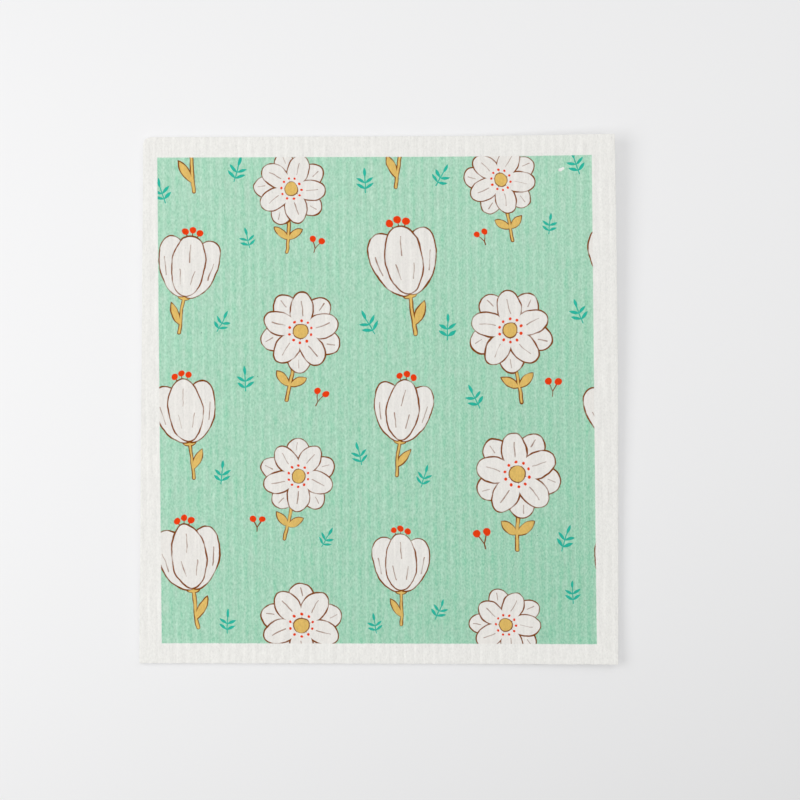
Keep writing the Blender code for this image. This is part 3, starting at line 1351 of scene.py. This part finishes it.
class SheetTree:
    """The node tree that lays out the sheet's front and back from its named sizes."""

    def __init__(
        self, tree: bpy.types.NodeTree, sheet: SpongeSheet, material: bpy.types.Material
    ) -> None:
        """Reads the tree's inputs.

        Args:
            tree: The tree, whose inputs are there already.
            sheet: The sheet, for what isn't an input.
            material: The material that the sheet takes.
        """
        self.bench = Bench(tree)
        self.sheet = sheet
        self.material = material
        group = self.bench.node("NodeGroupInput", {}, {})
        self.sizes = {size: Wire(self.bench, group.outputs[size.title]) for size in SizeInput}

    def build(self) -> None:
        """Adds all the nodes, from the grids to the tree's output."""
        bench, sizes = self.bench, self.sizes
        front = self._face(sizes[SizeInput.FRONT_ACROSS], sizes[SizeInput.FRONT_ALONG], True)
        back = self._face(sizes[SizeInput.BACK_ACROSS], sizes[SizeInput.BACK_ALONG], False)
        flipped = bench.wire("GeometryNodeFlipFaces", {}, {"Mesh": back})
        join = bench.node("GeometryNodeJoinGeometry", {}, {})
        for face in (front, flipped):
            bench.feed(join.inputs["Geometry"], face)
        both = Wire(bench, join.outputs["Geometry"])
        real = bench.wire("GeometryNodeRealizeInstances", {}, {"Geometry": both})
        sockets = {"Geometry": real, "Material": self.material}
        dressed = bench.wire("GeometryNodeSetMaterial", {}, sockets)
        bench.node("NodeGroupOutput", {}, {"Geometry": dressed})

    def _face(self, across: Wire, along: Wire, front: bool) -> Wire:
        """Lays out one face from a grid.

        Args:
            across: How many points it has across the ribs.
            along: How many points it has along them.
            front: Whether it is the ribbed front.

        Returns:
            The face as a geometry.
        """
        bench = self.bench
        counts = {"Size X": 1.0, "Size Y": 1.0, "Vertices X": across, "Vertices Y": along}
        grid = bench.wire("GeometryNodeMeshGrid", {}, counts)
        position = bench.wire("GeometryNodeInputPosition", {}, {})
        x, y = self._plan(*position.parts()[:2])
        height = self._lift(x, y) + (self._relief(x, y) if front else self._hollow(x, y))
        sockets = {"Geometry": grid, "Position": bench.joined(x, y, height)}
        placed = bench.wire("GeometryNodeSetPosition", {}, sockets)
        settings = {"data_type": "FLOAT", "domain": "POINT"}
        sockets = {"Geometry": placed, "Name": SIDE_ATTRIBUTE, "Value": 1.0 if front else -1.0}
        return bench.wire("GeometryNodeStoreNamedAttribute", settings, sockets)

    def _plan(self, across: Wire, along: Wire) -> tuple[Wire, Wire]:
        """Places a grid point in plan: on its rib, and drawn to the cut near each side.

        Args:
            across: The point's place across the grid, -0.5 to 0.5.
            along: The point's place along it.

        Returns:
            X and Y in metres.
        """
        sizes, sheet = self.sizes, self.sheet
        width, length = sizes[SizeInput.WIDTH], sizes[SizeInput.LENGTH]
        share = along * 2.0
        crowd = 1.0 + sheet.row_crowding * (1.0 - abs(share) ** sheet.row_curve)
        y = length * along * crowd
        lean = sizes[SizeInput.LEAN] * y
        first, last = width * -0.5 - lean, width * 0.5 - lean
        x = width * across - lean
        left_share = (1.0 - (x - first) / sheet.side_blend).at_least(0.0)
        right_share = (1.0 - (last - x) / sheet.side_blend).at_least(0.0)
        left, right = self._cuts(y)
        return x + left_share * (left - first) + right_share * (right - last), y

    def _cuts(self, y: Wire) -> tuple[Wire, Wire]:
        """The two cut lines: both flare, the left rounds its top corner and the right bows.

        Args:
            y: The place along the sheet.

        Returns:
            X of the left line and of the right one.
        """
        sizes = self.sizes
        width, length = sizes[SizeInput.WIDTH], sizes[SizeInput.LENGTH]
        radius = sizes[SizeInput.CORNER]
        flare = sizes[SizeInput.FLARE] * y / length
        rise = (y - (length * 0.5 - radius)).at_least(0.0)
        inward = radius - (radius * radius - rise * rise).at_least(0.0).root()
        bow = sizes[SizeInput.BOW] * (1.0 - (y * 2.0 / length) ** 2.0)
        return width * -0.5 + flare + inward, width * 0.5 - flare + bow

    def _lift(self, x: Wire, y: Wire) -> Wire:
        """Height of the back: flat on the left, curled up along the right side.

        Args:
            x: The place across the sheet.
            y: The place along it.

        Returns:
            The height.
        """
        sizes = self.sizes
        reach = sizes[SizeInput.REACH]
        side = ((x - sizes[SizeInput.WIDTH] * 0.5 + reach) / reach).at_least(0.0)
        up = (y / sizes[SizeInput.LENGTH] + 0.5).at_least(0.0).at_most(1.0)
        top = sizes[SizeInput.TOP] * up ** sizes[SizeInput.TOP_FADE]
        bottom = sizes[SizeInput.BOTTOM] * (1.0 - up) ** sizes[SizeInput.BOTTOM_FADE]
        return side * side * (top + bottom)

    def _turn(self, x: Wire, y: Wire) -> Wire:
        """How far round its wave the rib is at a place, in radians."""
        return (x + y * self.sizes[SizeInput.LEAN]) * (2 * math.pi) / self.sizes[SizeInput.PITCH]

    def _hollow(self, x: Wire, y: Wire) -> Wire:
        """Depth of the back's grooves: its ribs touch the table and the grooves lie above it."""
        return self.sizes[SizeInput.RIB] * (1.0 - self._turn(x, y).wave()) * 0.5

    def _relief(self, x: Wire, y: Wire) -> Wire:
        """Height of the front above the back: the sheet, its uneven ribs and its pressed edge.

        Args:
            x: The place across the sheet.
            y: The place along it.

        Returns:
            The height.
        """
        bench, sizes = self.bench, self.sizes
        turn = self._turn(x, y)
        place = bench.joined(x, y * self.sheet.grain_stretch) / self.sheet.grain_size
        grain = bench.noise(place) - 0.5
        uneven = 1.0 + grain * self.sheet.rib_grain
        rib = sizes[SizeInput.RIB] * (1.0 + turn.wave()) * 0.5 * uneven
        fine = sizes[SizeInput.FINE] * (1.0 + (turn * sizes[SizeInput.FINE_COUNT]).wave()) * 0.5
        left, right = self._cuts(y)
        half = sizes[SizeInput.LENGTH] * 0.5
        inside = (x - left).at_most(right - x).at_most(half - abs(y))
        share = (1.0 - inside / sizes[SizeInput.EDGE_ROUND]).at_least(0.0)
        drop = sizes[SizeInput.EDGE_DROP] * share * share
        return sizes[SizeInput.THICKNESS] + rib + fine + grain * sizes[SizeInput.GRAIN] - drop


@dataclass(frozen=True)
class Table:
    """The pale table top that the cloth lies on."""

    side: float = 6.0
    gap: float = 0.00005
    tone: Colour = screen(240, 240, 241)
    glow: Colour = screen(238, 238, 238)
    glow_share: float = 0.4
    fade_start: float = 0.28
    fade_end: float = 1.3
    # Painted light falloff across the table: its level and how it changes across, along, twisted and
    # bowed, within its reach.
    level: float = 1.02
    across: float = -0.19
    along: float = 0.22
    twist: float = 0.6
    bow: float = -1.7
    reach: float = 0.16

    def build(self) -> bpy.types.Object:
        """Makes the table top.

        Returns:
            The table top.
        """
        bm = bmesh.new()
        bmesh.ops.create_grid(bm, x_segments=1, y_segments=1, size=self.side / 2)
        bmesh.ops.translate(bm, verts=bm.verts[:], vec=(0.0, 0.0, -self.gap))
        mesh = bpy.data.meshes.new("table_top")
        bm.to_mesh(mesh)
        bm.free()
        mesh.materials.append(self._material())
        table = added("table_top", mesh)
        return table

    def _material(self) -> bpy.types.Material:
        """Makes it pale, with painted light falloff across it, a part of its brightness as a plain
        backdrop, and all of it far away.

        Returns:
            The material.
        """
        made = bpy.data.materials.new("pale_table")
        made.use_nodes = True
        bench = Bench(made.node_tree)
        place = bench.wire("ShaderNodeTexCoord", {}, {}, "Object")
        x, y, _ = place.parts()
        x = x.at_least(-self.reach).at_most(self.reach)
        y = y.at_least(-self.reach).at_most(self.reach)
        # Painted light falloff: the table's colour is darker towards the right and the bottom, in its
        # lit part and in its glow.
        tone = self.level + x * self.across + y * self.along
        tone = tone + x * y * self.twist + y * y * self.bow
        lit = bench.wire("ShaderNodeBsdfDiffuse", {}, {"Color": bench.scaled(self.tone, tone)})
        glow = bench.wire("ShaderNodeEmission", {}, {"Color": bench.scaled(self.glow, tone)})
        share = bench.step(place.length(), self.fade_start, self.fade_end, self.glow_share, 1.0)
        sockets = {0: bench.seen() * share, 1: lit, 2: glow}
        out = made.node_tree.nodes["Material Output"]
        bench.feed(out.inputs["Surface"], bench.wire("ShaderNodeMixShader", {}, sockets))
        return made


@dataclass(frozen=True)
class Softbox:
    """One oblong light that faces the cloth. Sizes are metres, power watts and angles degrees."""

    name: str
    power: float
    width: float
    height: float
    distance: float
    elevation: float
    azimuth: float

    def build(self) -> None:
        """Hangs the light."""
        lamp = bpy.data.lights.new(self.name, "AREA")
        lamp.energy = self.power
        lamp.shape = "RECTANGLE"
        lamp.size = self.width
        lamp.size_y = self.height
        box = added(self.name, lamp)
        up, turn = math.radians(self.elevation), math.radians(self.azimuth)
        way = Vector((math.cos(turn) * math.cos(up), math.sin(turn) * math.cos(up), math.sin(up)))
        box.location = way * self.distance
        box.rotation_euler = way.to_track_quat("Z", "Y").to_euler()


@dataclass(frozen=True)
class StudioLight:
    """Soft light from a pale room and from overhead, and a weaker window on the left."""

    room: float = 0.345
    backdrop: float = 0.86
    window: Softbox = Softbox(
        "window", power=7.4, width=1.0, height=0.70, distance=1.2, elevation=47.0, azimuth=178.0
    )
    overhead: Softbox = Softbox(
        "overhead", power=17.0, width=2.4, height=2.4, distance=1.8, elevation=63.0, azimuth=25.0
    )

    def build(self) -> None:
        """Lights the scene."""
        world = bpy.data.worlds.new("room")
        world.use_nodes = True
        background = world.node_tree.nodes["Background"]
        background.inputs["Color"].default_value = (1.0, 1.0, 1.0, 1.0)
        bench = Bench(world.node_tree)
        strength = bench.seen() * (self.backdrop - self.room) + self.room
        bench.feed(background.inputs["Strength"], strength)
        bpy.context.scene.world = world
        self.window.build()
        self.overhead.build()


@dataclass(frozen=True)
class PhotoCamera:
    """The camera above the cloth, a little to its right, as the photograph was taken."""

    place: tuple[float, float, float] = (0.0289, -0.0103, 0.90)
    turn: tuple[float, float, float] = (0.648, 1.311, -0.029)
    lens: float = 106.6
    nearest: float = 0.01

    def build(self) -> None:
        """Makes the camera and gives it to the scene."""
        data = bpy.data.cameras.new("photo")
        data.lens = self.lens
        data.clip_start = self.nearest
        camera = added("photo", data)
        camera.location = self.place
        camera.rotation_euler = [math.radians(angle) for angle in self.turn]
        bpy.context.scene.camera = camera


def main() -> None:
    """Builds the cloth, the table, the light and the camera."""
    logging.basicConfig(level=logging.INFO, format="%(message)s")
    PhotoCamera().build()
    sheet = SpongeSheet.from_frame()
    cloth = sheet.build(SpongeFinish())
    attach(cloth, "root")
    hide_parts(NODE)
    log.info("%s: %d faces", cloth.name, len(cloth.data.polygons))
    table = Table().build()
    log.info("%s is stage", table.name)
    StudioLight().build()
    bpy.context.scene.view_settings.view_transform = "Standard"


if __name__ == "__main__":
    main()
